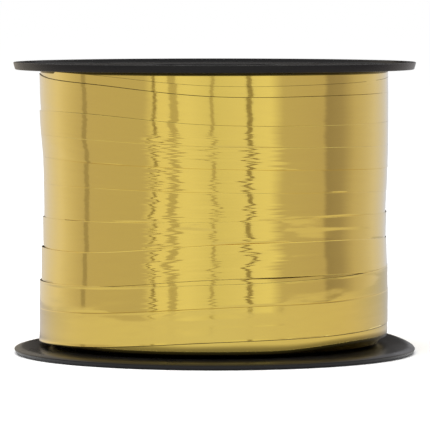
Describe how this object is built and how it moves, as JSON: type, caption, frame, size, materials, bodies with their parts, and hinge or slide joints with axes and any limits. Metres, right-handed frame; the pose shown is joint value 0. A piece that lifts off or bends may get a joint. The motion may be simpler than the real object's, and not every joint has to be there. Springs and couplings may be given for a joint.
{
  "type": "spool of metallic curling ribbon",
  "caption": "Flanged black plastic spool, moulded in halves that plug together, wound between its flanges with glossy metallic gold curling ribbon.",
  "frame": {"origin": "centre of the outer rim face of the lower flange, which the spool stands on", "axes": "+Z along the spool's axis, from the lower flange to the upper flange; -Y towards the viewer, +X to the viewer's right"},
  "size_m": [0.06, 0.06, 0.0434],
  "materials": {
    "black_plastic": "injection-moulded black polystyrene, glossy",
    "gold_ribbon": "metallised polypropylene film, gold mirror gloss"
  },
  "bodies": {
    "root": {"lower_half_spool": "black_plastic", "upper_half_spool": "black_plastic", "ribbon_winding": "gold_ribbon"}
  },
  "joints": []
}
